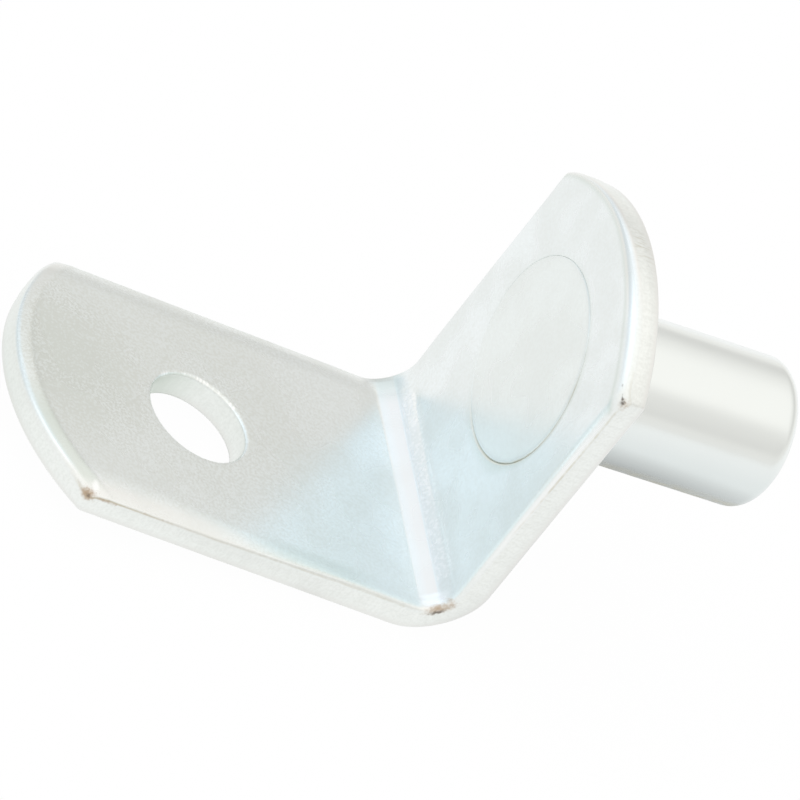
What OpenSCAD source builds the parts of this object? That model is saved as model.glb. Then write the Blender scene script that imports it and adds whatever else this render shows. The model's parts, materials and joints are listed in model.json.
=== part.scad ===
// Angled shelf support: a bent steel strip with a screw hole, and a headed steel pin fixed in it.
// Millimetres. The pin's axis is X and its root, where it leaves the strip, is the origin.
// +X runs along the pin into the cabinet side, the shelf leg reaches towards -X, and +Z is up.

/* [Strip] */
// Width of the strip
strip_w = 12.7; // [11.2:0.1:18]
// Thickness of the strip
strip_t = 1.25; // [1:0.05:2.5]

/* [Bend and legs] */
// Inside radius of the bend
bend_r = 1.5; // [0.6:0.1:4]
// Angle that the strip turns through; past 90 the shelf leg rises towards its tip
bend_turn = 93.5; // [84:0.5:100]
// Flat length of the shelf leg, from the bend to its tip
shelf_leg = 17.1; // [14:0.1:40]
// Flat length of the pin leg, from the bend to its tip
pin_leg = 13.9; // [12.5:0.1:24]
// How far the curved end of each leg bows out at its middle
end_bow = 2.6; // [0.8:0.1:5]

/* [Edges] */
// Width of the rolled-over edge round the inner faces
roll_w = 1.35; // [0.4:0.05:1.6]
// Depth of the rolled-over edge round the inner faces
roll_d = 0.2; // [0.05:0.05:0.4]
// Radius on the edges of the outer faces
edge_r = 0.1; // [0.05:0.01:0.3]

/* [Screw hole] */
// Diameter of the screw hole
hole_d = 4.4; // [3:0.1:6]
// Distance from the bend to the middle of the screw hole
hole_out = 8.8; // [6:0.1:11]
// Rounding of the screw hole's rim on the inner face
hole_rim = 0.15; // [0.05:0.01:0.3]

/* [Pin] */
// Diameter of the pin
pin_d = 6.2; // [4:0.1:7]
// Length of pin that stands out of the strip
pin_out = 9.65; // [5:0.05:16]
// Rounding of the pin's tip
pin_tip_r = 0.8; // [0.2:0.1:1.8]
// Height of the pin's axis above the bend
pin_rise = 6.85; // [5:0.05:8]
// How far the pin's head reaches past the pin all round
head_lip = 1.1; // [0.4:0.1:1.6]
// Thickness of the head, which is let into the strip
head_t = 0.8; // [0.4:0.05:0.95]
// How far the neck under the head, which is pressed into the strip, stands out past the pin
neck_lip = 0.3; // [0.2:0.05:0.35]
// Rounding of the two edges that make the groove round the head
groove_r = 0.1; // [0.05:0.01:0.2]

/* [Hidden] */
$fn = 96;

over = 1; // how far a cutting shape reaches past what it cuts
bend_lap = 4; // degrees that half of the bend is made too long by, before it is cut at the middle
outer_r = bend_r + strip_t; // radius of the bend's outer face
half_w = strip_w / 2;
// Each leg ends in an arc through its two corners, end_bow further out at the middle
end_r = (end_bow * end_bow + half_w * half_w) / (2 * end_bow);
head_d = pin_d + 2 * head_lip;
neck_d = pin_d + 2 * neck_lip;
neck_h = strip_t - head_t; // thickness of strip left under the head, and so the neck's length

// What rounding an edge takes away. The edge is at the origin and the metal lies towards -X
// and -Y. The arc is tangent to the top face, and is w wide and d deep at the side.
module edge_cut(w, d) {
    r = (w * w + d * d) / (2 * d);
    difference() {
        translate([-w, -d]) square([w + over, d + over]);
        translate([-w, -r]) circle(r);
    }
}

// The same for an edge that has the metal above it
module edge_cut_below(r) {
    mirror([0, 1]) edge_cut(r, r);
}

// Cross-section of the strip: its width along X, and its outer face at y = 0
module strip_section() {
    difference() {
        translate([-half_w, 0]) square([strip_w, strip_t]);
        for (side = [0, 1]) mirror([side, 0]) translate([half_w, 0]) {
            translate([0, strip_t]) edge_cut(roll_w, roll_d);
            edge_cut_below(edge_r);
        }
    }
}

// Takes away what lies past the curved end of a leg, with the same rounding as along its sides
module end_cut(length) {
    translate([0, 0, length - end_r]) rotate([0, -90, 0]) rotate([0, 0, -90])
        rotate_extrude(angle = 180) {
            translate([end_r, -over]) square([half_w + end_bow, strip_t + 2 * over]);
            translate([end_r, strip_t]) edge_cut(roll_w, roll_d);
            translate([end_r, 0]) edge_cut_below(edge_r);
        }
}

// A leg that stands up from the bend, with the near half of the bend at its foot. The bend's
// axis is Y, and the leg's outer face looks towards +X.
module bent_leg(length) {
    translate([outer_r, 0, 0]) difference() {
        linear_extrude(length) rotate(90) strip_section();
        end_cut(length);
    }
    rotate([-90, 0, 0]) rotate_extrude(angle = bend_turn / 2 + bend_lap)
        translate([outer_r, 0]) rotate(90) strip_section();
}

// The same, less its children, turned to put the middle of the bend at z = 0 and cut off there
module half_strip(length) {
    reach = length + outer_r + over;
    intersection() {
        rotate([0, -bend_turn / 2, 0]) difference() {
            bent_leg(length);
            children();
        }
        translate([-reach, -half_w - over, 0]) cube([2 * reach, strip_w + 2 * over, reach]);
    }
}

// Screw hole through an upright leg, with its rim rounded on the inner face
module screw_hole() {
    translate([outer_r, 0, hole_out]) rotate([0, -90, 0]) {
        translate([0, 0, -over]) cylinder(d = hole_d, h = strip_t + 2 * over);
        rotate_extrude() translate([hole_d / 2, strip_t]) mirror([1, 0]) edge_cut(hole_rim, hole_rim);
    }
}

// The bent strip with its pin leg upright. Its halves are mirror images, but for the leg's
// length and the screw hole.
module bent_strip() {
    rotate([0, bend_turn / 2, 0]) {
        half_strip(pin_leg);
        mirror([0, 0, 1]) half_strip(shelf_leg) screw_hole();
    }
}

// Seat for the pin: a hole for its neck and a counterbore for its head, with a rounded rim
module pin_seat() {
    rotate([0, -90, 0]) {
        translate([0, 0, -over]) cylinder(d = neck_d, h = strip_t + over);
        translate([0, 0, neck_h]) cylinder(d = head_d, h = head_t + over);
        rotate_extrude() translate([head_d / 2, strip_t]) mirror([1, 0]) edge_cut(groove_r, groove_r);
    }
}

module bracket() {
    color([0.82, 0.84, 0.83]) difference() {
        translate([-outer_r, 0, -pin_rise]) bent_strip();
        pin_seat();
    }
}

// Half-profile of the pin, turned about its axis: the head first, then the neck, and then the
// pin itself with its tip
module pin_profile() {
    difference() {
        square([head_d / 2, head_t]);
        translate([head_d / 2, 0]) edge_cut_below(groove_r);
    }
    translate([0, head_t]) square([neck_d / 2, neck_h]);
    difference() {
        translate([0, head_t]) square([pin_d / 2, neck_h + pin_out]);
        translate([pin_d / 2, strip_t + pin_out]) edge_cut(pin_tip_r, pin_tip_r);
    }
}

module pin() {
    color([0.80, 0.82, 0.82]) translate([-strip_t, 0, 0]) rotate([0, 90, 0])
        rotate_extrude() pin_profile();
}

bracket();
pin();
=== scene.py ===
import json
import math

import bmesh
import bpy
import numpy as np
from mathutils import Matrix, Vector, noise


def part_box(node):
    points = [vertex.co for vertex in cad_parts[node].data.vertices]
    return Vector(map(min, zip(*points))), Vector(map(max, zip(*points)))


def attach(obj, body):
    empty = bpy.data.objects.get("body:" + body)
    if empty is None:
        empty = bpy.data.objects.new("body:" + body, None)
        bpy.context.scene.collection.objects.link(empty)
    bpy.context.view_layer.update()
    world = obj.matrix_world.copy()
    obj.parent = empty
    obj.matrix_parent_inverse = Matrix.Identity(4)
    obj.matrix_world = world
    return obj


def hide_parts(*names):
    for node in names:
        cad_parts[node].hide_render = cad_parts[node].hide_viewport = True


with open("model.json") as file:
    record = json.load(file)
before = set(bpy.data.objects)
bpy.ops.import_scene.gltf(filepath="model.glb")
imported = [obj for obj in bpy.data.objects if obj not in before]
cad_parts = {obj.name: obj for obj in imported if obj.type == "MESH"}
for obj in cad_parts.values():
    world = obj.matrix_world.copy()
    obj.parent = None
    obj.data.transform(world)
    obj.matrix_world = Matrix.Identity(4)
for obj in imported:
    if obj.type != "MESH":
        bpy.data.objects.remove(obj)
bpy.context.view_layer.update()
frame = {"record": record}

mm = 0.001  # a millimetre, in Blender's metres
mounts = {mount["name"]: mount for mount in frame["record"]["mounts"]}
bracketLow, bracketHigh = (np.array(corner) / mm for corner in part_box("bracket"))
pinLow, pinHigh = (np.array(corner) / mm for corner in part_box("pin"))

# The stamped and bent strip, in millimetres and degrees
strip = {
    "bendTurn": 93.5,
    "bendInside": 1.5,
    "shelfLeg": 17.1,  # flat length from the bend to the tip
    "endBow": 2.6,
    "cornerRound": 0.3,  # the outline's four corners
    # the edge that the die rolled over, along the sides of the inner faces
    "rollWidth": 1.35,
    "uprightRollWidth": 0.55,  # along the upright leg's near side
    "rollAtBend": 0.3,  # it narrows towards the bend on the near side
    "rollNarrows": (3, 12),  # between these distances from the bend
    "rollDepth": 0.23,
    "rollDepthAtBend": 0.12,
    "rollDeepens": (2, 9),
    "rollMidBend": (0.5, 0.07),  # it widens and deepens in the middle of the bend
    "farRollShare": 0.95,  # of its width, along the far side
    "farRollDepth": 0.2,
    # and at the ends
    "endRollWidth": 0.66,
    "endRollSlope": 0.19,
    "endRollSoft": 0.12,
    "endRollDepth": 0.03,
    "shelfEndRound": (0.2, 0.19),  # width and depth of the rounding over each end's wall
    "uprightEndRound": (0.56, 0.34),
    "uprightRoundShare": ((-4, 1, 5), (1.0, 0.45, 0.3)),  # across the strip: least at the far corner
    # the faces rise a little before they roll over
    "beadHeight": 0.016,
    "sideBead": ((0, 1.5, 4, 9), (0, 1, 1, 0)),  # by the distance from the bend
    "sideBeadReach": (0.95, 0.45),
    "endBeadReach": (0.8, 0.52),
    # the press left flats inside the bend: (degrees from the upright leg, distance from the bend's axis)
    "bendFlats": [(0, 1.5), (25, 1.557), (50, 1.6), (62, 1.595), (93.5, 1.5)],
    "flatSharpness": 65,
    "flatWobble": 0.0012,
    "flatBlend": 4,  # degrees in which they start and end
    "flatNearEnd": (0.1, 0.6),  # and the distances from the strip's sides
    "flatFarEnd": (0.3, 0.95),
    "bendSwell": 0.08,  # the bend's inside swells past the sides
    "bendSwellReach": 1,
    "edgeRound": 0.09,  # between the rolled edge and the sheared wall
    "outerRound": 0.07,
    "tearTaper": 0.05,  # how far the torn lower half of the wall falls back
    "holeRimWidth": 0.17,
    "holeRimDepth": 0.05,
    "holeRimEdge": 0.05,
    "holeFoot": 0.04,
    "seatRim": 0.1,  # its rounding falls away this far, to the depth of the groove round the head
    "seatFoot": 0.03,
    "seatSpare": 0.01,  # between the seat's floor and the head
    "grooveDepth": 0.045,
    # the groove is shallowest on the far side
    "grooveShare": ((-180, -150, -60, -20, 30, 60, 120, 150, 180),
                    (0.7, 1.0, 1.0, 0.75, 0.55, 0.4, 0.35, 0.45, 0.7)),
    "waveHeight": 0.004,  # how far the faces are from true
    "waveLength": 2.5,
    # how finely it is drawn
    "step": 0.125,  # spacing of the points along the outline
    "cornerPoints": 6,
    "rollRows": 22,
    "rollCrowding": 1.6,  # above 1 the rows crowd towards the edge
    "roundRows": 5,
    "wallRows": 11,
    "bendRows": 90,
    "bendColumns": 72,
    "shelfRings": (18, 12),  # round the screw hole, on the inner face and on the outer one
    "uprightRings": (8, 10),  # round the pin
    "holeRimRings": 8,
    "holeEdgeRings": 4,
    "seatRimRings": 6,
    # What use and the press did to its surfaces, and where shade is painted on them: pressed is
    # rubbed smooth and painted darker and warmer, film is tarnish and painted shade, dirt is what a
    # crevice holds, with painted shade. Each table gives places, and how strong it is there.
    "wearAndShade": {
        "bendPressedShade": ((42, 44.5, 56, 76), (0, 1, 1, 0)),  # pressed smooth and painted darker and warmer, by degrees from the upright leg
        "bendPebbled": ((3, 14, 40, 41.5), (0, 1, 1, 0)),  # left coarse, with sparse painted highlights
        "bendLine": (39.5, 1.2, 0.08),  # a darker line between the two: its place, its width and how strong it is
        # painted shade at the bend's far end, by degrees from the upright leg
        "bendFarShadeByDegree": ((24, 40, 66, 80), (0, 0.5, 0.5, 0)),
        "bendFarShadeAcross": (4.8, 5.7),  # at the bend's far end
        # painted shade in the pressed colour, on the shelf leg's rolled end and along its near side
        "shelfEndShade": (0.35, 0.3),  # how strong it is, and how softly it starts
        "nearSideShade": 0.5,
        "nearSideAcross": (0.9, 0.5),  # between these distances from the side
        "nearSideAlong": (6, 9),  # and from the bend
        "fold": (0.02, 0.12, 0.42),  # painted dark line where the upright leg's end starts to round over: offset, width, strength
        "dimmedRoundWarmth": 0.8,  # painted darker and warmer on that rounding, to dim its highlight
        "dimmedRoundShade": 0.28,
        "dimmedRoundEdge": (0.05, 0.15),  # how far past that line it starts, and how softly
        "dimmedRoundAcross": (-3.6, -1.6),
        "lowEndShade": 0.55,  # painted shade on the lower part of the shelf leg's end
        "lowAcross": ((-6.1, -5.6), (-1, -3)),  # where it fades in on each side
        "lowFromEnd": ((0.06, 0.16), (0.75, 0.55)),
        "nearRollShade": ((1, 3, 5.5, 7.5), (0, 0.3, 0.3, 0)),  # painted shade on the near rolled edge, by the distance from the bend
        "nearRollAcross": (-5.2, -5.6),
        "shelfEdgeDirtAndShade": ((10, 14, 14.6, 15), (0.25, 0.75, 0.7, 0.1)),  # dirt and painted shade along the near side's edge
        "uprightEdgeDirtAndShade": ((3, 5, 10, 11), (0, 0.45, 0.45, 0.2)),
        "holeWallShade": ((-40, 10, 62, 112), (0, 0.65, 0.65, 0)),  # painted shade on the hole's wall, by degrees round the screw hole
        # dirt and painted shade in the groove round the pin's head, darkest low down on the near side
        "grooveDirtAndShade": ((-180, -150, -120, -90, -60, -30, 0, 30, 60, 120, 150, 180),
                       (0.6, 0.9, 1.0, 0.7, 0.9, 0.35, 0.4, 0.2, 0.1, 0.05, 0.1, 0.6)),
        "grooveDirtStrength": 0.6,
        "grooveTarnishAndShade": (0.45, 0.55),  # at the rim, and how much more at the bottom
    },
}
wearAndShade = strip["wearAndShade"]
shelf, bend, upright = 0, 1, 2  # the strip's three stretches
thickness = -pinLow[0]
halfWidth = bracketHigh[1]
outerR = strip["bendInside"] + thickness
turn = math.radians(strip["bendTurn"])
bendX = -outerR
bendZ = bracketLow[2] + outerR
uprightLeg = bracketHigh[2] - bendZ
endR = (strip["endBow"] ** 2 + halfWidth ** 2) / (2 * strip["endBow"])
holeR = mounts["screw_hole"]["dims"]["r_mm"]

# The headed pin, in millimetres
pin = {
    "headThick": 0.8,
    "headGap": 0.008,  # between the head and its seat
    "headEdge": 0.09,
    "headShift": (0.006, -0.003),  # the head sits a little to one side of its seat, across and up
    "headUnderEdge": 0.03,
    "neckLip": 0.3,
    "neckGap": 0.02,
    "neckEdge": 0.03,
    "rootEdge": 0.04,
    "tipRound": 0.8,
    # painted shade on its underside, by degrees round its side from the far side upwards: in the
    # tarnish colour, and darker in the dirt colour lowest down
    "film": ((152, 166, 181, 200, 214, 231, 290, 330), (0, 0.2, 0.5, 0.6, 0.85, 1, 1, 0)),
    "undersideShade": ((206, 217, 290, 320), (0, 0.5, 0.5, 0)),
    "tipClean": (0.8, 0.95),  # they fade out on the tip, between these shares of the radius
    "sides": 320,
    "faceRings": 26,
    "headEdgeRings": 6,
    "sideRings": 35,
    "roundRings": 15,
    "tipRings": 11,
    "waveHeight": 0.003,
    "waveLength": 1.8,
}
seatR = pinHigh[2]
pinR = mounts["pin"]["dims"]["r_mm"]
pinTip = pinHigh[0]
neckR = pinR + pin["neckLip"]


# Rises from 0 to 1 as x goes from start to end, which may be the lower of the two
def ramp(x, start, end):
    return np.clip((x - start) / (end - start), 0, 1)


# Distance from the bend's axis to its inside, less that of a plain round bend. The flats waver
# a little across the strip.
def insideFlats(angle, across):
    wobble = 1 + strip["flatWobble"] * (np.sin(2.1 * across + 0.6) + np.sin(4.7 * across + 2))
    total = 0
    for degrees, distance in strip["bendFlats"]:
        # a flat counts for little past its own part
        facing = np.maximum(np.cos(angle - math.radians(degrees)), 0.05)
        middle = 0 < degrees < strip["bendTurn"]
        total = total + (distance * (wobble if middle else 1) / facing) ** -strip["flatSharpness"]
    fade = ramp(np.minimum(angle, turn - angle), 0, math.radians(strip["flatBlend"]))
    fade = fade * ramp(halfWidth + across, *strip["flatNearEnd"])
    fade = fade * ramp(halfWidth - across, *strip["flatFarEnd"])
    return fade * (total ** (-1 / strip["flatSharpness"]) - strip["bendInside"])


# Where bending takes a point of the strip. along is the distance from the bend, or in it the
# angle from the upright leg, and depth is measured down from the inner face.
def bentPlace(stretch, along, across, depth):
    stretch, along, across, depth = np.broadcast_arrays(stretch, along, across, depth)
    angle = np.where(stretch == bend, along, np.where(stretch == shelf, turn, 0.0))
    outX = np.where(stretch == shelf, -math.sin(turn) * along, 0.0)
    outZ = np.where(stretch == shelf, -math.cos(turn) * along, np.where(stretch == upright, along, 0.0))
    flats = insideFlats(np.clip(angle, 0, turn), across) * ramp(depth, thickness, 0)
    radius = outerR - thickness + depth + np.where(stretch == bend, flats, 0.0)
    return np.stack([bendX + radius * np.cos(angle) + outX, across,
                     bendZ - radius * np.sin(angle) + outZ], -1)


screwPlace = np.array(mounts["screw_hole"]["pos_m"]) / mm
holeOut = (screwPlace - bentPlace(shelf, 0.0, 0.0, 0.0)) @ [-math.sin(turn), 0, -math.cos(turn)]
seatOut = -bendZ  # the pin's axis is at z = 0


# How far a rounding has fallen below a flat face, at x from the edge
def arcFall(x, width, depth):
    radius = (width ** 2 + depth ** 2) / (2 * depth)
    return radius - np.sqrt(radius ** 2 - np.clip(width - x, 0, width) ** 2)


# Points of a quarter turn round an edge, from the face to the side: (distance in, distance down)
def quarterTurn(size, count):
    tilts = np.linspace(0, math.pi / 2, count + 1)[1:]
    return [(size * (1 - math.sin(tilt)), size * (1 - math.cos(tilt))) for tilt in tilts]


# One leg's outline, from the bend up its near side, round the end and down the far side
def legOutline(length, inset):
    middle = length - endR
    ring = endR - inset
    roundR = max(strip["cornerRound"] - inset, 0)
    cornerAcross = halfWidth - max(strip["cornerRound"], inset)
    cornerAlong = middle + math.sqrt((ring - roundR) ** 2 - cornerAcross ** 2)
    arcEnd = math.atan2(cornerAcross, cornerAlong - middle)
    sideCount = round(length / strip["step"])
    arcCount = round(2 * halfWidth / strip["step"])
    side = np.linspace(0, cornerAlong, sideCount, endpoint=False)
    corner = np.linspace(-math.pi / 2, -arcEnd, strip["cornerPoints"], endpoint=False)
    arc = np.linspace(-arcEnd, arcEnd, arcCount + 1)
    along = np.concatenate([side, cornerAlong + roundR * np.cos(corner), middle + ring * np.cos(arc)])
    across = np.concatenate([np.full(sideCount, inset - halfWidth),
                             roundR * np.sin(corner) - cornerAcross, ring * np.sin(arc)])
    farSide = slice(sideCount + strip["cornerPoints"] - 1, 0, -1)
    return np.concatenate([along, along[farSide]]), np.concatenate([across, -across[farSide]])


# The whole closed outline: the upright leg, the bend's far side, the shelf leg, its near side
def outlineAt(inset):
    uprightAlong, uprightAcross = legOutline(uprightLeg, inset)
    shelfAlong, shelfAcross = legOutline(strip["shelfLeg"], inset)
    rows = strip["bendRows"]
    angles = np.linspace(0, turn, rows, endpoint=False)
    counts = len(uprightAlong), rows, len(shelfAlong), rows
    stretch = np.repeat([upright, bend, shelf, bend], counts)
    along = np.concatenate([uprightAlong, angles, shelfAlong, turn - angles])
    side = np.full(rows, halfWidth - inset)
    across = np.concatenate([uprightAcross, side, -shelfAcross, -side])
    return stretch, along, across, counts


# Distance in from a leg's curved end. The bend is as far from one as it can be.
def distanceFromEnd(stretch, along, across):
    length = np.where(stretch == upright, uprightLeg, strip["shelfLeg"])
    return np.where(stretch == bend, endR, endR - np.hypot(np.maximum(along - length + endR, 0), across))


# How far the rolled edge has fallen. The rolls of the sides and of the ends add up, so that
# the corners droop.
def rollFall(stretch, along, across):
    fromSide = np.maximum(halfWidth - np.abs(across), 0)
    fromEnd = np.maximum(distanceFromEnd(stretch, along, across), 0)
    past = np.maximum(strip["endRollWidth"] - fromEnd, 0)
    soft = strip["endRollSoft"]
    creased = np.where(stretch == shelf, strip["endRollSlope"] * (np.hypot(past, soft) - soft), 0.0)
    share = np.interp(across, *strip["uprightRoundShare"])
    uprightRound = arcFall(fromEnd, *(size * share for size in strip["uprightEndRound"]))
    rounded = np.where(stretch == upright, uprightRound, arcFall(fromEnd, *strip["shelfEndRound"]))
    fromBend = np.where(stretch == bend, 0.0, along)
    inBend = np.where(stretch == bend, np.sin(math.pi * np.clip(along / turn, 0, 1)) ** 2, 0.0)
    widest = np.where((stretch == upright) & (across < 0), strip["uprightRollWidth"], strip["rollWidth"])
    width = strip["rollAtBend"] + (widest - strip["rollAtBend"]) * ramp(fromBend, *strip["rollNarrows"])
    width = width + strip["rollMidBend"][0] * inBend
    width = np.where(across < 0, width, strip["farRollShare"] * strip["rollWidth"])
    depth = np.interp(fromBend, strip["rollDeepens"], (strip["rollDepthAtBend"], strip["rollDepth"]))
    depth = depth + strip["rollMidBend"][1] * inBend
    depth = np.where(across < 0, depth, strip["farRollDepth"])
    sideBead = np.interp(fromBend, *strip["sideBead"]) * ramp(fromSide, *strip["sideBeadReach"])
    endBead = (stretch != bend) * ramp(fromEnd, *strip["endBeadReach"])
    bead = np.maximum(sideBead, endBead)
    return (arcFall(fromSide, width, depth) + creased + rounded
            + arcFall(fromEnd, strip["endRollWidth"], strip["endRollDepth"])
            - strip["beadHeight"] * bead ** 2 * (3 - 2 * bead))


# Bending squeezes the inside of the bend out past the strip's sides and draws the outside in
def swollenPlace(stretch, along, across, depth):
    inBend = np.where(stretch == bend, np.sin(math.pi * along / turn) ** 2, 0.0)
    nearSide = ramp(np.abs(across), halfWidth - strip["bendSwellReach"], halfWidth) ** 2
    push = strip["bendSwell"] * inBend * nearSide * (1 - 2 * depth / thickness)
    return bentPlace(stretch, along, across + np.sign(across) * push, depth)


# What each point knows about its surface. wall is 1 on a sheared wall, where run is the distance
# along it and down is the share of the way down it. The last four layers are, in turn: dirt that a
# crevice holds, with painted shade; where the press left the metal coarse; where it rubbed it
# smooth, with painted shade that dims and warms it; and tarnish, with painted shade.
surfaceLayers = ("wall", "run", "down", "seam", "pebbles", "pressed", "film")


# A grid of points, rows by columns by 3, in millimetres, with its layers
def makeGrid(points, closed, **given):
    shape = points.shape[:2]
    layers = {name: np.broadcast_to(given.get(name, 0.0), shape).reshape(-1) for name in surfaceLayers}
    rows, columns = np.meshgrid(np.arange(shape[0] - 1), np.arange(shape[1] - (not closed)), indexing="ij")
    corner = rows * shape[1] + columns
    beside = rows * shape[1] + (columns + 1) % shape[1]
    faces = np.stack([corner, beside, beside + shape[1], corner + shape[1]], -1).reshape(-1, 4)
    return points.reshape(-1, 3), faces, layers


def pieceFromGrids(name, grids):
    starts = np.cumsum([0] + [len(points) for points, _, _ in grids])
    points = np.concatenate([points for points, _, _ in grids])
    faces = np.concatenate([faces + start for (_, faces, _), start in zip(grids, starts)])
    mesh = bpy.data.meshes.new(name)
    mesh.from_pydata((points * mm).tolist(), [], faces.tolist())
    for layer in surfaceLayers:
        values = np.concatenate([layers[layer] for _, _, layers in grids]).astype(np.float32)
        mesh.attributes.new(layer, "FLOAT", "POINT").data.foreach_set("value", values)
    weld = 0.0001 * mm  # points closer than this are one
    work = bmesh.new()
    work.from_mesh(mesh)
    bmesh.ops.remove_doubles(work, verts=work.verts, dist=weld)
    bmesh.ops.dissolve_degenerate(work, edges=work.edges, dist=weld)
    bmesh.ops.recalc_face_normals(work, faces=work.faces)
    openEdges = sum(not edge.is_manifold for edge in work.edges)
    print(name, len(work.verts), "points,", len(work.faces), "faces,", openEdges, "open edges")
    work.to_mesh(mesh)
    work.free()
    mesh.shade_smooth()
    piece = bpy.data.objects.new(name, mesh)
    bpy.context.scene.collection.objects.link(piece)
    return piece


# Moves every point along its normal by a gentle unevenness, with a finer one of half its height
def unevenFaces(piece, height, length):
    mesh = piece.data
    places = np.empty(3 * len(mesh.vertices))
    normals = np.empty(3 * len(mesh.vertices))
    mesh.vertices.foreach_get("co", places)
    mesh.vertices.foreach_get("normal", normals)
    places, normals = places.reshape(-1, 3), normals.reshape(-1, 3)
    spots = [Vector(place) for place in places / (length * mm)]
    wave = np.array([noise.noise(spot) + 0.5 * noise.noise(spot * 3.1) for spot in spots])
    places += normals * wave[:, None] * height * mm
    mesh.vertices.foreach_set("co", places.reshape(-1))
    mesh.update()


# Painted shade inside the bend, at its far end
def bendFarShade(degrees, across):
    return np.interp(degrees, *wearAndShade["bendFarShadeByDegree"]) * ramp(across, *wearAndShade["bendFarShadeAcross"])


# Where the rolled edge is pressed smooth, and where shade is painted on it: dimmed and warmed in
# the pressed colour, and darkened in the tarnish colour
def edgeWearAndShade(inset):
    stretch, along, across, _ = outlineAt(inset)
    onShelf, onUpright, inBend = stretch == shelf, stretch == upright, stretch == bend
    degrees = np.degrees(along)
    fromEnd = distanceFromEnd(stretch, along, across)
    # painted shade in the pressed colour on the shelf leg's rolled end and its near side
    strength, soft = wearAndShade["shelfEndShade"]
    onEnd = onShelf * strength * ramp(fromEnd, strip["endRollWidth"], strip["endRollWidth"] - soft)
    onSide = onShelf * (across < 0) * wearAndShade["nearSideShade"] * ramp(along, *wearAndShade["nearSideAlong"])
    onSide = onSide * ramp(halfWidth + across, *wearAndShade["nearSideAcross"])
    # a painted dark line where the upright leg's end starts to round over
    offset, foldWidth, foldShade = wearAndShade["fold"]
    foldAt = offset + strip["uprightEndRound"][0] * np.interp(across, *strip["uprightRoundShare"])
    fold = onUpright * foldShade * np.exp(-((fromEnd - foldAt) / foldWidth) ** 2)
    # painted shade that dims the highlight on that rounding's upper part
    past, soft = wearAndShade["dimmedRoundEdge"]
    dimmedRound = onUpright * ramp(fromEnd, foldAt + past, foldAt + past - soft) * ramp(across, *wearAndShade["dimmedRoundAcross"])
    # painted shade on the lower part of the shelf leg's end
    low = onShelf * wearAndShade["lowEndShade"]
    for start, end in wearAndShade["lowAcross"]:
        low = low * ramp(across, start, end)
    for start, end in wearAndShade["lowFromEnd"]:
        low = low * ramp(fromEnd, start, end)
    # painted shade on the near rolled edge, close to the bend
    nearRoll = onShelf * ramp(across, *wearAndShade["nearRollAcross"]) * np.interp(along, *wearAndShade["nearRollShade"])
    farEnd = inBend * bendFarShade(degrees, across)
    # the middle of the bend: pressed smooth, and painted darker and warmer
    midBend = inBend * np.interp(degrees, *wearAndShade["bendPressedShade"])
    pressed = np.max([onEnd, onSide, midBend, wearAndShade["dimmedRoundWarmth"] * dimmedRound], 0)
    film = np.max([fold, wearAndShade["dimmedRoundShade"] * dimmedRound, low, nearRoll, farEnd], 0)
    return pressed, film


# The edge as rings round the outline, from the inner face's border down to the outer face's
def edgeGrid():
    edge, outer, taper = strip["edgeRound"], strip["outerRound"], strip["tearTaper"]
    stretch, along, across, _ = outlineAt(0.0)
    outline = bentPlace(stretch, along, across, thickness / 2)
    run = np.concatenate([[0], np.cumsum(np.linalg.norm(np.diff(outline, axis=0), axis=1))])
    wallTop = rollFall(stretch, along, across) + edge
    wallBottom = thickness - outer
    crowded = np.linspace(1, 0, strip["rollRows"]) ** strip["rollCrowding"]
    # each ring: its inset, its fall below the roll or its depth, wall, and the share of the way down
    rings = [(inset, 0.0, None, 0.0, 0.0) for inset in edge + (strip["rollWidth"] - edge) * crowded]
    rings += [(inset, fall, None, 0.5, 0.0) for inset, fall in quarterTurn(edge, strip["roundRows"])]
    for share in np.linspace(0, 1, strip["wallRows"] + 1)[1:]:
        depth = wallTop + (wallBottom - wallTop) * share
        rings.append((taper * ramp(share, 0.5, 1), 0.0, depth, 1.0, share))  # torn from half-way down
    for fall, inset in quarterTurn(outer, strip["roundRows"]):
        rings.append((taper + inset, 0.0, np.full(len(along), thickness - fall), 0.5, 1.0))
    rows, pressed, film = [], [], []
    for inset, fall, depth, _, _ in rings:
        ringStretch, ringAlong, ringAcross, _ = outlineAt(inset)
        if depth is None:
            depth = rollFall(ringStretch, ringAlong, ringAcross) + fall
        rows.append(swollenPlace(ringStretch, ringAlong, ringAcross, depth))
        ringPressedAndShaded, ringTarnishAndShade = edgeWearAndShade(inset)
        pressed.append(ringPressedAndShaded)
        film.append(ringTarnishAndShade)
    wall = np.array([ring[3] for ring in rings])[:, None]
    down = np.array([ring[4] for ring in rings])[:, None]
    film = np.where(wall == 0, np.array(film), 0)
    # dirt and painted shade lie along two rings of the edge's rounding, on the near side
    stretch, along, across, _ = outlineAt(outer + taper)
    onLine = np.zeros(wall.shape)
    onLine[np.flatnonzero((wall == 0.5) & (down == 0))[-3:-1]] = 1
    seam = np.where(stretch == shelf, np.interp(along, *wearAndShade["shelfEdgeDirtAndShade"]),
                    np.interp(along, *wearAndShade["uprightEdgeDirtAndShade"]) * (stretch == upright))
    seam = seam * (across < 1 - halfWidth)
    return makeGrid(np.array(rows), True, wall=wall, run=run[None, :], down=down,
                    seam=onLine * seam[None, :], pressed=np.array(pressed), film=film)


# An angle from the upright leg's tip towards its far side, in degrees from -180 to 180
def wrappedDegrees(angle):
    return (np.degrees(angle) + 180) % 360 - 180


# Dirt, tarnish and painted shade in the groove round the pin's head, darkest low down on the
# near side. groove is 0 at its rim and 1 at its bottom.
def grooveDirtAndShade(groove, angle):
    share = np.interp(wrappedDegrees(angle), *wearAndShade["grooveDirtAndShade"])
    atRim, deeper = wearAndShade["grooveTarnishAndShade"]
    return groove * share * wearAndShade["grooveDirtStrength"], share * (atRim + deeper * np.sqrt(groove))


def grooveShare(angle):
    return np.interp(wrappedDegrees(angle), *strip["grooveShare"])


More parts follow.
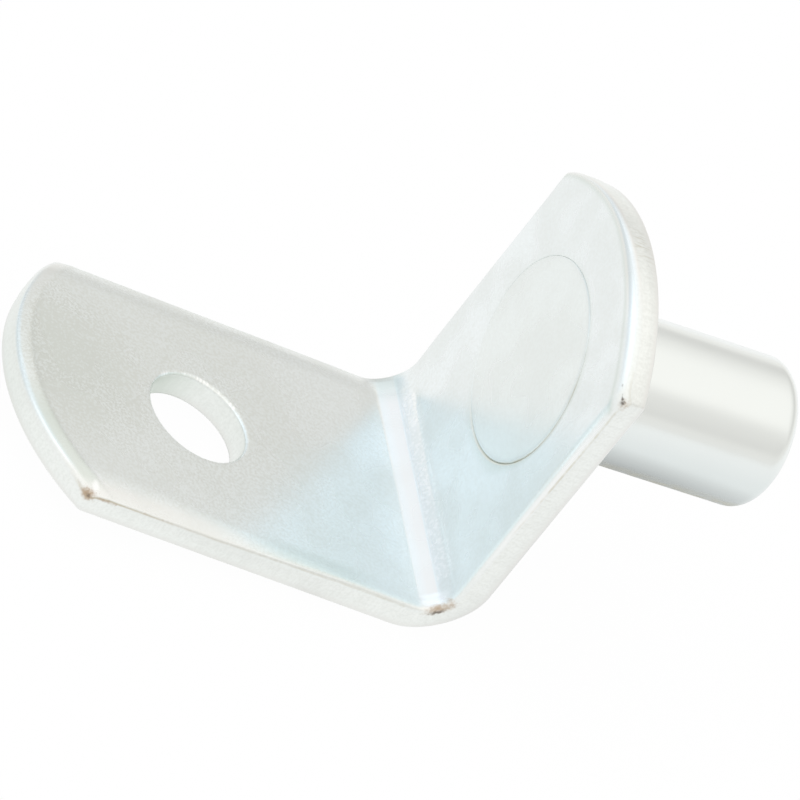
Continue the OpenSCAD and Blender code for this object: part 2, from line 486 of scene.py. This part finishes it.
# A leg's face round a hole, in rings that turn from the hole's circle into the leg's border
def faceGrid(which, inset, depth, circleR, circleOut, ringCount):
    stretch, along, across, counts = outlineAt(inset)
    first = 0 if which == upright else counts[0] + counts[1]
    count = counts[0] if which == upright else counts[2]
    border = np.arange(first, first + count + 1) % len(along)
    foot = np.linspace(across[border[-1]], across[border[0]], strip["bendColumns"] + 1)[1:-1]
    borderAlong = np.concatenate([along[border[:-1]], np.zeros(len(foot) + 1)])
    borderAcross = np.concatenate([across[border], foot])
    angle = np.unwrap(np.arctan2(borderAcross, borderAlong - circleOut))
    share = np.linspace(0, 1, ringCount)[:, None]
    ringAlong = circleOut + circleR * np.cos(angle) * (1 - share) + (borderAlong - circleOut) * share
    ringAcross = circleR * np.sin(angle) * (1 - share) + borderAcross * share
    # the groove's tarnish and painted shade spread a little way on to the face
    onRim = (share == 0) & (which == upright) & (depth == 0)
    film = onRim * grooveDirtAndShade(0.0, angle)[1][None, :]
    return makeGrid(bentPlace(which, ringAlong, ringAcross, depth), True, film=film), angle


# The wall of a hole, as rings of (radius, depth, wall, share of the way down)
def holeGrid(which, innerAngle, outerAngle, circleOut, rings):
    radius, depth, wall, down = np.array(rings).T[..., None]
    angle = innerAngle + (outerAngle - innerAngle) * down
    if which == upright:
        depth = depth * np.where(depth <= strip["grooveDepth"], grooveShare(angle), 1.0)
        groove = (depth < thickness) * np.clip(depth / strip["grooveDepth"], 0, 1)
        seam, film = grooveDirtAndShade(groove, angle)
    else:
        # painted shade on the screw hole's wall, by degrees round it
        seam, film = 0.0, wall * np.interp(wrappedDegrees(angle), *wearAndShade["holeWallShade"])
    points = bentPlace(which, circleOut + radius * np.cos(angle), radius * np.sin(angle), depth)
    return makeGrid(points, True, wall=wall, run=angle * radius, down=down, seam=seam, film=film)


def bendGrid(inset, depth):
    angle = np.linspace(0, turn, strip["bendRows"] + 1)[:, None]
    across = np.linspace(halfWidth - inset, inset - halfWidth, strip["bendColumns"] + 1)[None, :]
    angle, across = np.broadcast_arrays(angle, across)
    degrees = np.degrees(angle)
    inside = depth == 0
    place, width, strength = wearAndShade["bendLine"]
    return makeGrid(swollenPlace(bend, angle, across, depth), False,
                    seam=inside * strength * np.exp(-((degrees - place) / width) ** 2),
                    pebbles=inside * np.interp(degrees, *wearAndShade["bendPebbled"]),
                    pressed=inside * np.interp(degrees, *wearAndShade["bendPressedShade"]),
                    film=inside * bendFarShade(degrees, across))


print("strip: rolled edges, sheared walls, faces, bend, screw hole and the pin's seat")
innerInset = strip["rollWidth"]
outerInset = strip["tearTaper"] + strip["outerRound"]

rimWidth, rimDepth, rimEdge = strip["holeRimWidth"], strip["holeRimDepth"], strip["holeRimEdge"]
holeRings = [(holeR + x, arcFall(x, rimWidth, rimDepth), 0.0, 0.0)
             for x in np.linspace(rimWidth, rimEdge, strip["holeRimRings"])]
holeRings += [(holeR + x, rimDepth + fall, 0.5, 0.0)
              for x, fall in quarterTurn(rimEdge, strip["holeEdgeRings"])]
wallTop, wallBottom = holeRings[-1][1], thickness - strip["holeFoot"]
holeRings += [(holeR, wallTop + (wallBottom - wallTop) * share, 1.0, share)
              for share in np.linspace(0, 1, strip["wallRows"] + 1)[1:]]
holeFootR = holeR + strip["holeFoot"]
holeRings += [(holeFootR, thickness, 0.5, 1.0)]
innerRings, outerRings = strip["shelfRings"]
shelfInner, holeAngle = faceGrid(shelf, innerInset, 0.0, holeR + rimWidth, holeOut, innerRings)
shelfOuter, holeOuterAngle = faceGrid(shelf, outerInset, thickness, holeFootR, holeOut, outerRings)

seatRim = strip["seatRim"]
seatFloor = pin["headThick"] + strip["seatSpare"]
seatFootR = neckR + strip["seatFoot"]
seatRings = [(seatR + seatRim, 0.0, 0.0, 0.0)]
seatRings += [(seatR + x, arcFall(x, seatRim, strip["grooveDepth"]), 0.0, 0.0)
              for x in np.linspace(seatRim, 0, strip["seatRimRings"] + 1)[1:]]
seatRings += [(seatR, seatFloor, 0.0, 0.3), (neckR, seatFloor, 0.0, 0.6),
              (neckR, thickness - strip["seatFoot"], 0.0, 0.9), (seatFootR, thickness, 0.0, 1.0)]
innerRings, outerRings = strip["uprightRings"]
uprightInner, seatAngle = faceGrid(upright, innerInset, 0.0, seatR + seatRim, seatOut, innerRings)
uprightOuter, seatOuterAngle = faceGrid(upright, outerInset, thickness, seatFootR, seatOut, outerRings)

stampedStrip = pieceFromGrids("stampedStrip", [
    edgeGrid(), bendGrid(innerInset, 0.0), bendGrid(outerInset, thickness),
    shelfInner, holeGrid(shelf, holeAngle, holeOuterAngle, holeOut, holeRings), shelfOuter,
    uprightInner, holeGrid(upright, seatAngle, seatOuterAngle, seatOut, seatRings), uprightOuter,
])
unevenFaces(stampedStrip, strip["waveHeight"], strip["waveLength"])


# The pin turned about its axis, as rings of (x, radius), with its head shifted sideways
def pinGrid():
    headR = seatR - pin["headGap"]
    edge, tip = pin["headEdge"], pin["tipRound"]
    underEdge, rootEdge = pin["headUnderEdge"], pin["rootEdge"]
    neckSide = neckR - pin["neckGap"]
    face = pinLow[0]
    under = face + pin["headThick"]
    rings = [(face, radius) for radius in np.linspace(0, headR - edge, pin["faceRings"])]
    rings += [(face + arcFall(inset, edge, strip["grooveDepth"]), headR - inset)
              for inset in np.linspace(edge, 0, pin["headEdgeRings"] + 1)[1:]]
    headRings = len(rings) + 2
    rings += [(under - underEdge, headR), (under, headR - underEdge)]
    rings += [(under, neckSide), (-pin["neckGap"], neckSide), (0.0, neckSide - pin["neckEdge"])]
    rings += [(0.0, pinR + rootEdge), (rootEdge, pinR)]
    rings += [(x, pinR) for x in np.linspace(rootEdge, pinTip - tip, pin["sideRings"] + 1)[1:]]
    tilts = np.linspace(0, math.pi / 2, pin["roundRings"] + 1)[1:]
    rings += [(pinTip - tip + tip * math.sin(tilt), pinR - tip + tip * math.cos(tilt)) for tilt in tilts]
    rings += [(pinTip, radius) for radius in np.linspace(pinR - tip, 0, pin["tipRings"] + 1)[1:]]
    x, radius = np.array(rings).T[..., None]
    angle = np.linspace(0, 2 * math.pi, pin["sides"], endpoint=False)[None, :]
    onHead = (np.arange(len(rings)) < headRings)[:, None]
    across = radius * np.cos(angle) + onHead * pin["headShift"][0]
    up = radius * np.sin(angle) + onHead * pin["headShift"][1]
    side = (x > 0) * ramp(radius / pinR, *pin["tipClean"])
    around = math.pi / 2 - angle
    onHeadEdge = radius > headR - edge - 0.001
    inGroove = (x <= face + strip["grooveDepth"]) & onHeadEdge
    x = np.where(inGroove, face + (x - face) * grooveShare(around), x)
    points = np.stack([x + 0 * across, across, up], -1)
    groove = (x < 0) * np.clip((x - face) / strip["grooveDepth"], 0, 1)
    grooveDirtStrength, grooveTarnishAndShade = grooveDirtAndShade(groove, around)
    # painted shade on its underside, in the tarnish colour, and darker in the dirt colour lowest down
    degrees = np.degrees(angle)
    film = grooveTarnishAndShade * (x < 0) * onHeadEdge + side * np.interp(degrees, *pin["film"])
    seam = grooveDirtStrength + side * np.interp(degrees, *pin["undersideShade"])
    return makeGrid(points, True, wall=side, run=angle * pinR, down=x, seam=seam, film=film)


print("pin: head, neck, side and rounded tip")
headedPin = pieceFromGrids("headedPin", [pinGrid()])
unevenFaces(headedPin, pin["waveHeight"], pin["waveLength"])


# Marks: where they are (stretch, along, across, depth), how far they reach along
# the edge and round it, and how strong they are
marks = {
    "rust": [
        ((shelf, 14.62, -6.2, 0.4), 0.42, 0.3, 0.75),
        ((shelf, 15.0, -5.8, 0.33), 0.4, 0.12, 0.35),
        ((shelf, 13.8, -6.34, 0.33), 0.7, 0.09, 0.55),
        ((shelf, 12.0, -6.34, 0.25), 0.25, 0.08, 0.35),
        ((shelf, 11.3, -6.34, 0.25), 0.25, 0.08, 0.3),
        ((bend, math.radians(46), -6.3, 0.24), 0.75, 0.24, 0.7),
        ((bend, math.radians(30), -6.3, 0.24), 0.3, 0.3, 0.55),
        ((upright, 11.15, -6.26, 0.36), 0.35, 0.25, 0.45),
    ],
    "sootAndShade": [
        ((shelf, 14.56, -6.25, 0.43), 0.24, 0.14, 0.6),
        ((shelf, 14.2, -6.34, 0.4), 0.35, 0.1, 0.4),
        ((bend, math.radians(50), -6.37, 0.34), 0.52, 0.15, 0.78),
        # the upright leg's near corner: a painted shadow in the crevice where its rolled edges meet, and the
        # painted dark line up from it
        ((upright, 11.17, -6.23, 0.29), 0.17, 0.12, 0.88),
        ((upright, 11.3, -6.15, 0.25), 0.12, 0.07, 0.85),
        ((upright, 11.4, -6.04, 0.2), 0.12, 0.06, 0.75),
        ((upright, 11.5, -5.9, 0.16), 0.12, 0.06, 0.7),
        ((upright, 11.6, -5.74, 0.12), 0.12, 0.06, 0.7),
        ((upright, 11.7, -5.56, 0.09), 0.12, 0.06, 0.6),
    ],
    "scuff": [
        ((upright, 13.8, -0.1, 0.75), 0.8, 0.5, 0.9),
        ((upright, 7.0, -6.35, 0.3), 4.5, 0.15, 0.3),
    ],
    # painted highlights
    "paintedHighlight": [
        ((shelf, 14.35, -5.85, 0.2), 0.45, 0.2, 1.0),
        ((bend, math.radians(48), -5.9, 0.08), 1.2, 0.38, 1.0),
        ((upright, 5.5, -6.3, 0.14), 7.0, 0.17, 0.8),
    ],
    # dulled by handling
    "dulled": [
        ((shelf, 8.5, 0.0, 0.0), 9.0, 8.0, 0.45),
        ((shelf, 15.6, 0.5, 0.0), 4.2, 5.0, 1.15),
    ],
}
# painted glints round the screw hole's rim: (degrees, how bright)
rimGlints = [(31, 0.7), (50, 0.9), (54, 1.0), (58, 0.9), (82, 0.7), (97, 0.9), (101, 1.0),
            (105, 1.0), (109, 0.9), (123, 0.7), (139, 0.9), (144, 1.0), (209, 0.7)]
glintR = holeR + 0.09
for degrees, strength in rimGlints:
    around = math.radians(degrees)
    place = (shelf, holeOut + glintR * math.cos(around), glintR * math.sin(around), 0.05)
    marks["paintedHighlight"].append((place, 0.12, 0.09, strength))


def addMarks(piece):
    places = np.array([vertex.co for vertex in piece.data.vertices]) / mm
    nudge = 0.01
    for kind, spots in marks.items():
        values = np.zeros(len(places))
        for (stretch, along, across, depth), reachAlong, reachRound, strength in spots:
            middle = bentPlace(stretch, along, across, depth)
            # a mark away from the strip's sides reaches across it
            if stretch != bend and abs(across) < halfWidth - 0.4:
                direction = bentPlace(stretch, along, across + nudge, depth) - middle
            else:
                direction = bentPlace(stretch, along + nudge, across, depth) - middle
            direction /= np.linalg.norm(direction)
            offset = places - middle
            ahead = offset @ direction
            aside = np.linalg.norm(offset - ahead[:, None] * direction, axis=1)
            distance = np.hypot(ahead / reachAlong, aside / reachRound)
            values = np.maximum(values, strength * np.exp(-distance ** 2))
        layer = piece.data.attributes.new(kind, "FLOAT", "POINT")
        layer.data.foreach_set("value", values.astype(np.float32))


# rust, soot with a painted shadow in one crevice, scuffs, and painted highlights
print("marks: rust, soot, scuffs and rubbed spots")
addMarks(stampedStrip)
addMarks(headedPin)


# An sRGB hex colour turned linear
def colour(hexCode):
    parts = [int(hexCode[i:i + 2], 16) / 255 for i in (1, 3, 5)]
    return [part / 12.92 if part <= 0.04045 else ((part + 0.055) / 1.055) ** 2.4 for part in parts] + [1.0]


# Adds a node. settings are its properties or its sockets' values. links are its sockets'
# sources, where a node stands for the first output that it has in use.
def addNode(tree, kind, settings=None, links=None):
    node = tree.nodes.new(kind)
    for key, value in (settings or {}).items():
        if isinstance(key, str) and hasattr(node, key):
            setattr(node, key, value)
        else:
            node.inputs[key].default_value = value
    for key, source in (links or {}).items():
        if hasattr(source, "outputs"):
            source = next(output for output in source.outputs if output.enabled)
        tree.links.new(source, node.inputs[key])
    return node


mixShare, mixUnder, mixOver = 0, 6, 7  # sockets of a colour mix
add, multiply, multiplyAdd = ({"operation": name} for name in ("ADD", "MULTIPLY", "MULTIPLY_ADD"))
smooth = {"interpolation_type": "SMOOTHSTEP"}

# Zinc plate on rolled steel, passivated blue: a soft mirror, faintly blue, that blurs what it
# reflects. The tumbling barrel leaves a fine speckle, and the sheared walls show their streaks.
plating = {
    "colour": "#F3F8F8",
    "dullColour": "#E5E8E4",  # speckles and clouds
    "wallColour": "#F7FAF7",
    "tornColour": "#F0F1EE",  # the torn foot of a wall, painted darker for the shade it reflects
    "filmColour": "#D0D9D0",  # tarnish, and painted shade
    "pressedColour": "#F1EDE8",  # where the press rubbed it, and painted shade that dims and warms it
    # painted highlights: on the bright marks, the glints round the hole and the pebbled metal
    "brightColour": "#FAFCFB",
    "rustColour": "#B9A48C",
    # soot, and a painted shadow in one crevice
    "sootColour": "#6F675F",
    # dirt in crevices and scuff ticks, with painted shade in crevices and low down
    "seamColour": "#C6BFA6",
    "roughness": 0.27,
    "roughSpread": 0.04,
    "wallRoughness": 0.36,
    "tornRoughness": 0.06,  # more than the wall's
    "stainAndShadeRoughness": 0.4,  # more where it is stained, and where shade is painted
    "stainAndShadeDulls": 0.8,  # how far a stain, and painted shade, hide the metal
    # size in millimetres, detail and seed of each pattern. The real speckle, dots and streaks are
    # finer, and are drawn as coarse as they need to be to show.
    "patterns": {
        "speckle": (0.12, 2.0, 0.0),
        "clouds": (2.2, 1.0, 3.0),
        "patches": (0.5, 3.0, 5.0),
        "dots": (0.1, 2.0, 7.0),
        "pebble": (0.16, 1.0, 9.0),
    },
    "streakWidth": 0.12,
    "streaksDown": 1.2,  # from the top of a wall to its foot
    # heights in millimetres
    "speckleHeight": 0.0015,
    "pebbleHeight": 0.008,
    "streakHeight": 0.0008,
    # where a pattern, or a mark with dots over it, starts to show and is full, and its share at
    # the two
    "shows": {
        "grains": ("speckle", 0.36, 0.64, 0.0, 1.0),
        "dullClouds": ("clouds", 0.35, 0.65, 0.0, 0.3),
        "pebbles": ("pebble", 0.5, 0.62, 0.3, 1.0),
        "pressedClouds": ("clouds", 0.3, 0.7, 0.8, 1.0),
        "wallStreaks": ("streak", 0.35, 0.7, 0.0, 0.25),
        "wallGrains": ("speckle", 0.4, 0.62, 0.0, 0.3),
        "ticks": ("streak", 0.5, 0.62, 0.0, 1.0),
        "dirtAndShadePatches": ("patches", 0.35, 0.6, 0.3, 1.0),
        "tornAndShaded": ("tornShadeLine", 0.8, 1.15, 0.0, 1.0),
        "paintedBright": ("paintedHighlightDots", 0.45, 0.95, 0.0, 1.0),
        "rusted": ("rustDots", 0.45, 1.1, 0.0, 1.0),
        "sootyAndShaded": ("sootAndShadeDots", 0.6, 1.2, 0.0, 1.0),
        "roughClouds": ("clouds", 0.3, 0.7, -1.0, 1.0),
    },
    "tornJitter": 0.3,  # how far the streaks and the dots move those edges
    "paintedHighlightJitter": 0.3,
    "stainJitter": 0.6,
    # what handling dulls
    "dulledGrains": (1.1, 0.2),  # where it is dulled, and everywhere
    "dulledClouds": 0.12,
    "dulledFilm": 0.25,
    "tickStrength": 0.45,  # dark ticks on scuffed walls
    "rustStains": 0.7,  # how far rust roughens the metal, next to soot
}


def makePlating(name, look):
    material = bpy.data.materials.new(name)
    material.use_nodes = True
    tree = material.node_tree
    tree.nodes.clear()
    spot = addNode(tree, "ShaderNodeTexCoord").outputs["Object"]
    layer = {}
    for key in (*surfaceLayers, *marks):
        layer[key] = addNode(tree, "ShaderNodeAttribute", {"attribute_name": key}).outputs["Fac"]
    pattern = {}
    for key, (size, detail, seed) in look["patterns"].items():
        settings = {"noise_dimensions": "4D", "Scale": 1 / (size * mm), "Detail": detail, "W": seed}
        pattern[key] = addNode(tree, "ShaderNodeTexNoise", settings, {"Vector": spot})

    # streaks run down the walls, and move the line where the torn part starts
    streakScale = (1 / look["streakWidth"], look["streaksDown"], 0)
    onWall = addNode(tree, "ShaderNodeCombineXYZ", {}, {"X": layer["run"], "Y": layer["down"]})
    streakPlace = addNode(tree, "ShaderNodeVectorMath", {**multiply, 1: streakScale}, {0: onWall})
    pattern["streak"] = addNode(tree, "ShaderNodeTexNoise", {
        "noise_dimensions": "4D", "Scale": 1.0, "Detail": 3.0}, {"Vector": streakPlace})
    edges = {
        "tornShadeLine": ("down", "streak", look["tornJitter"]),
        "paintedHighlightDots": ("paintedHighlight", "dots", look["paintedHighlightJitter"]),
        "rustDots": ("rust", "dots", look["stainJitter"]),
        "sootAndShadeDots": ("sootAndShade", "dots", look["stainJitter"]),
    }
    for key, (under, over, jitter) in edges.items():
        pattern[key] = addNode(tree, "ShaderNodeMath", {**multiplyAdd, 1: jitter},
                               {0: pattern[over], 2: layer[under]})
    share = {}
    for key, (source, low, high, start, end) in look["shows"].items():
        settings = {**smooth, "From Min": low, "From Max": high, "To Min": start, "To Max": end}
        share[key] = addNode(tree, "ShaderNodeMapRange", settings, {"Value": pattern[source]})

    # speckles and clouds dull the faces, most where handling dulled them, least where pressed
    grainGain, grainBase = look["dulledGrains"]
    grainShare = addNode(tree, "ShaderNodeMath", {**multiplyAdd, 1: grainGain, 2: grainBase},
                         {0: layer["dulled"]})
    cloudShare = addNode(tree, "ShaderNodeMath", {**multiplyAdd, 1: look["dulledClouds"]},
                         {0: layer["dulled"], 2: share["dullClouds"]})
    dull = addNode(tree, "ShaderNodeMath", multiplyAdd, {0: share["grains"], 1: grainShare, 2: cloudShare})
    unpressed = addNode(tree, "ShaderNodeMath", {"operation": "SUBTRACT", 0: 1.0}, {1: layer["pressed"]})
    streakShare = addNode(tree, "ShaderNodeMath", add, {0: share["wallStreaks"], 1: share["wallGrains"]})
    streaked = addNode(tree, "ShaderNodeMix", {
        "data_type": "RGBA", mixUnder: colour(look["wallColour"]), mixOver: colour(look["dullColour"])},
        {mixShare: streakShare})
    scuffed = addNode(tree, "ShaderNodeMath", multiply, {0: layer["scuff"], 1: layer["wall"]})
    film = addNode(tree, "ShaderNodeMath", {**multiplyAdd, 1: look["dulledFilm"]},
                   {0: layer["dulled"], 2: layer["film"]})
    ticks = addNode(tree, "ShaderNodeMath", {**multiply, 1: look["tickStrength"]}, {0: share["ticks"]})
    products = {
        "dull": (dull, unpressed),
        "pebbleHighlights": (layer["pebbles"], share["pebbles"]),
        "pressed": (layer["pressed"], share["pressedClouds"]),
        "tornAndShaded": (layer["wall"], share["tornAndShaded"]),
        "ticked": (scuffed, ticks),
        "seam": (layer["seam"], share["dirtAndShadePatches"]),
    }
    for key, (first, second) in products.items():
        share[key] = addNode(tree, "ShaderNodeMath", multiply, {0: first, 1: second})

    # each coat lies over those before it. The bright colour is painted highlight; the tarnish,
    # pressed, torn, dirt and soot colours carry painted shade in part.
    surface = colour(look["colour"])
    coats = [
        (share["dull"], "dullColour"), (share["pebbleHighlights"], "brightColour"),
        (share["pressed"], "pressedColour"), (layer["wall"], streaked), (share["tornAndShaded"], "tornColour"),
        (film, "filmColour"), (share["paintedBright"], "brightColour"), (share["ticked"], "seamColour"),
        (share["seam"], "seamColour"), (share["rusted"], "rustColour"), (share["sootyAndShaded"], "sootColour"),
    ]
    for coatShare, coat in coats:
        settings, links = {"data_type": "RGBA"}, {mixShare: coatShare}
        over = colour(look[coat]) if isinstance(coat, str) else coat
        for socket, source in ((mixUnder, surface), (mixOver, over)):
            (settings if isinstance(source, list) else links)[socket] = source
        surface = addNode(tree, "ShaderNodeMix", settings, links)

    rusty = addNode(tree, "ShaderNodeMath", {**multiply, 1: look["rustStains"]}, {0: share["rusted"]})
    # where soot and dirt lie, and where shade is painted with them
    stainedAndShaded = addNode(tree, "ShaderNodeMath", {"operation": "MAXIMUM"}, {0: share["sootyAndShaded"], 1: share["seam"]})
    stainedAndShaded = addNode(tree, "ShaderNodeMath", {"operation": "MAXIMUM"}, {0: rusty, 1: stainedAndShaded})
    rough = addNode(tree, "ShaderNodeMath", {**multiplyAdd, 1: look["roughSpread"], 2: look["roughness"]},
                    {0: share["roughClouds"]})
    for source, rougher in ((layer["wall"], look["wallRoughness"] - look["roughness"]),
                            (share["tornAndShaded"], look["tornRoughness"]), (stainedAndShaded, look["stainAndShadeRoughness"])):
        rough = addNode(tree, "ShaderNodeMath", {**multiplyAdd, 1: rougher}, {0: source, 2: rough})
    metallic = addNode(tree, "ShaderNodeMath", {**multiplyAdd, 1: -look["stainAndShadeDulls"], 2: 1.0}, {0: stainedAndShaded})
    relief = addNode(tree, "ShaderNodeBump", {"Distance": look["speckleHeight"] * mm},
                     {"Height": pattern["speckle"]})
    for height, source, strength in (("pebbleHeight", "pebble", "pebbles"),
                                     ("streakHeight", "streak", "wall")):
        relief = addNode(tree, "ShaderNodeBump", {"Distance": look[height] * mm},
                         {"Height": pattern[source], "Strength": layer[strength], "Normal": relief})
    shader = addNode(tree, "ShaderNodeBsdfPrincipled", {}, {
        "Base Color": surface, "Roughness": rough, "Metallic": metallic, "Normal": relief})
    addNode(tree, "ShaderNodeOutputMaterial", {}, {"Surface": shader})
    return material


# The same plate on drawn steel: the pin's side is smoother than its stamped head, so it mirrors
# more sharply, and the drawing leaves long fine streaks
pinPlating = dict(plating, colour="#EFF4F2", wallColour="#F0F4F2", tornColour="#F0F4F2", filmColour="#D8E0E0",
                  roughSpread=0.02, wallRoughness=0.16, streakWidth=0.15, streaksDown=0.3)

print("finishes: zinc plating on the strip and on the pin")
stampedStrip.data.materials.append(makePlating("zincPlatedRolledSteel", plating))
headedPin.data.materials.append(makePlating("zincPlatedDrawnSteel", pinPlating))

for piece, node, slot in ((stampedStrip, "bracket", "plated_strip"), (headedPin, "pin", "plated_pin")):
    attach(piece, "root")
    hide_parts(node)

# The studio. Each direction is followed by the cosines, of the angle from it, at which its light
# starts and is full, and by the brightness at the two.
studio = {
    "floorSize": 600,
    "paper": "#FCFCFC",
    "floorGlow": 0.97,  # share of the paper's white that the camera sees without shadow
    "mirrorGlow": 0.94,  # and that the metal reflects
    "shadeMiddle": (8, 0),  # the metal also reflects the shade that gathers under the pin
    "shadeReach": (1, 12),
    "shade": 0.54,
    "overhead": (-0.35, -0.3, 0.887),  # towards the middle of the overhead softbox
    # its brightness by the cosine of the angle from there
    "levels": [(-1.0, 0.73), (-0.1, 0.71), (0.0, 0.735), (0.05, 0.785), (0.14, 0.85), (0.26, 0.92),
               (0.37, 0.98), (0.43, 1.02), (0.62, 1.03), (0.8, 1.06), (1.0, 1.1)],
    "key": ((-0.81, 0.1, 0.56), 0.92, 0.99, 1.0, 1.24),  # a small lamp
    "corner": ((-0.8, 0.58, 0.12), 0.88, 0.97, 1.0, 0.9),  # a dim corner of the room
    "front": ((0.46, -0.8, 0.4), 0.84, 0.995, 1.0, 0.79),  # the dim front of the room
    "cool": ((-0.6, 0.6, 0.45), 0.5, 0.95, 0.0, 1.0),  # the studio's cool side
    "warmLight": (1.02, 1.0, 0.975, 1.0),
    "coolLight": (0.985, 1.06, 1.135, 1.0),
    # the backdrop behind the table, by height and by depth
    "backdropRise": ("Z", 0.2, 0.28, 0.93, 0.6),
    "backdropDepth": ("Y", -0.2, 0.2, 0.94, 1.0),
}
floorMesh = bpy.data.meshes.new("floor")
reach = studio["floorSize"] * mm
floorZ = bracketLow[2] * mm
floorMesh.from_pydata([(-reach, -reach, floorZ), (reach, -reach, floorZ), (reach, reach, floorZ),
                       (-reach, reach, floorZ)], [], [(0, 1, 2, 3)])
floor = bpy.data.objects.new("floor", floorMesh)
bpy.context.scene.collection.objects.link(floor)

# Matt studio paper, rolled: plain white, and even. It glows for the camera and for the metal, so
# that both see it white, and it keeps some of the object's shadow.
paper = bpy.data.materials.new("whiteStudioPaper")
paper.use_nodes = True
tree = paper.node_tree
tree.nodes.clear()
rays = addNode(tree, "ShaderNodeLightPath")
onFloor = addNode(tree, "ShaderNodeTexCoord").outputs["Object"]
shadeX, shadeY = studio["shadeMiddle"]
fromShade = addNode(tree, "ShaderNodeVectorMath", {
    "operation": "DISTANCE", 1: (shadeX * mm, shadeY * mm, floorZ)}, {0: onFloor})
shadeStart, shadeEnd = studio["shadeReach"]
shaded = addNode(tree, "ShaderNodeMapRange", {
    "From Min": shadeStart * mm, "From Max": shadeEnd * mm, "To Min": studio["shade"]}, {"Value": fromShade})
white = addNode(tree, "ShaderNodeMath", {"operation": "MAXIMUM"},
                {0: shaded, 1: rays.outputs["Is Camera Ray"]})
mirrorShare = addNode(tree, "ShaderNodeMath", {**multiply, 1: studio["mirrorGlow"]},
                      {0: rays.outputs["Is Glossy Ray"]})
glowShare = addNode(tree, "ShaderNodeMath", {**multiplyAdd, 1: studio["floorGlow"]},
                    {0: rays.outputs["Is Camera Ray"], 2: mirrorShare})
lit = addNode(tree, "ShaderNodeBsdfDiffuse", {"Color": colour(studio["paper"])})
glow = addNode(tree, "ShaderNodeEmission", {}, {"Strength": white})
both = addNode(tree, "ShaderNodeMixShader", {}, {0: glowShare, 1: lit, 2: glow})
addNode(tree, "ShaderNodeOutputMaterial", {}, {"Surface": both})
floorMesh.materials.append(paper)

world = bpy.data.worlds.new("softStudio")
bpy.context.scene.world = world
world.use_nodes = True
tree = world.node_tree
tree.nodes.clear()
toward = addNode(tree, "ShaderNodeTexCoord").outputs["Generated"]
rays = addNode(tree, "ShaderNodeLightPath")
axes = addNode(tree, "ShaderNodeSeparateXYZ", {}, {0: toward})
overhead = addNode(tree, "ShaderNodeVectorMath", {
    "operation": "DOT_PRODUCT", 1: Vector(studio["overhead"]).normalized()}, {0: toward})
curvePlace = addNode(tree, "ShaderNodeMapRange", {"From Min": -1.0}, {"Value": overhead})
level = addNode(tree, "ShaderNodeFloatCurve", {}, {"Value": curvePlace})
curve = level.mapping.curves[0]
while len(curve.points) < len(studio["levels"]):
    curve.points.new(0.5, 0.5)
brightest = 2.0  # brightness at the top of the curve
for point, (cosine, brightness) in zip(curve.points, studio["levels"]):
    point.location = ((cosine + 1) / 2, brightness / brightest)
level.mapping.update()
parts = {}
for key in ("front", "key", "corner", "cool", "backdropRise", "backdropDepth"):
    way, low, high, start, end = studio[key]
    if way in ("Y", "Z"):
        source = axes.outputs[way]
    else:
        source = addNode(tree, "ShaderNodeVectorMath", {
            "operation": "DOT_PRODUCT", 1: Vector(way).normalized()}, {0: toward})
    settings = {**smooth, "From Min": low, "From Max": high, "To Min": start, "To Max": end}
    parts[key] = addNode(tree, "ShaderNodeMapRange", settings, {"Value": source})
softbox = addNode(tree, "ShaderNodeMath", {**multiply, 1: brightest}, {0: level})
dimmed = addNode(tree, "ShaderNodeMath", multiply, {0: softbox, 1: parts["front"]})
keyed = addNode(tree, "ShaderNodeMath", multiply, {0: dimmed, 1: parts["key"]})
backdrop = addNode(tree, "ShaderNodeMath", multiply, {0: parts["backdropRise"], 1: parts["backdropDepth"]})
brighter = addNode(tree, "ShaderNodeMath", {"operation": "MAXIMUM"}, {0: keyed, 1: backdrop})
bright = addNode(tree, "ShaderNodeMath", multiply, {0: brighter, 1: parts["corner"]})
tint = addNode(tree, "ShaderNodeMix", {
    "data_type": "RGBA", mixUnder: studio["warmLight"], mixOver: studio["coolLight"]},
    {mixShare: parts["cool"]})
light = addNode(tree, "ShaderNodeVectorMath", {"operation": "SCALE"}, {0: tint, "Scale": bright})
seen = addNode(tree, "ShaderNodeMix", {"data_type": "RGBA", mixOver: (1.0, 1.0, 1.0, 1.0)},
               {mixShare: rays.outputs["Is Camera Ray"], mixUnder: light})
background = addNode(tree, "ShaderNodeBackground", {"Strength": 1.0}, {"Color": seen})
addNode(tree, "ShaderNodeOutputWorld", {}, {"Surface": background})

print("camera")
view = {
    "lens": 328.317,
    "azimuth": -33.8843,  # degrees
    "elevation": 34.0822,
    "roll": 38.4407,
    "aim": (-5.5636, -1.1363, -2.9938),  # millimetres
    "distance": 281.3525,
}
azimuth, elevation, roll = (math.radians(view[angle]) for angle in ("azimuth", "elevation", "roll"))
back = Vector((math.sin(azimuth) * math.cos(elevation), -math.cos(azimuth) * math.cos(elevation),
               math.sin(elevation)))
levelRight = Vector((0, 0, 1)).cross(back).normalized()
levelUp = back.cross(levelRight)
right = levelRight * math.cos(roll) + levelUp * math.sin(roll)
up = back.cross(right)
lens = bpy.data.cameras.new("camera")
lens.lens = view["lens"]
lens.sensor_width = 36
lens.clip_start = 0.01
camera = bpy.data.objects.new("camera", lens)
camera.matrix_world = Matrix((right, up, back)).transposed().to_4x4()
camera.location = (Vector(view["aim"]) + back * view["distance"]) * mm
bpy.context.scene.collection.objects.link(camera)
bpy.context.scene.camera = camera
bpy.context.scene.view_settings.view_transform = "Standard"

bpy.context.view_layer.update()
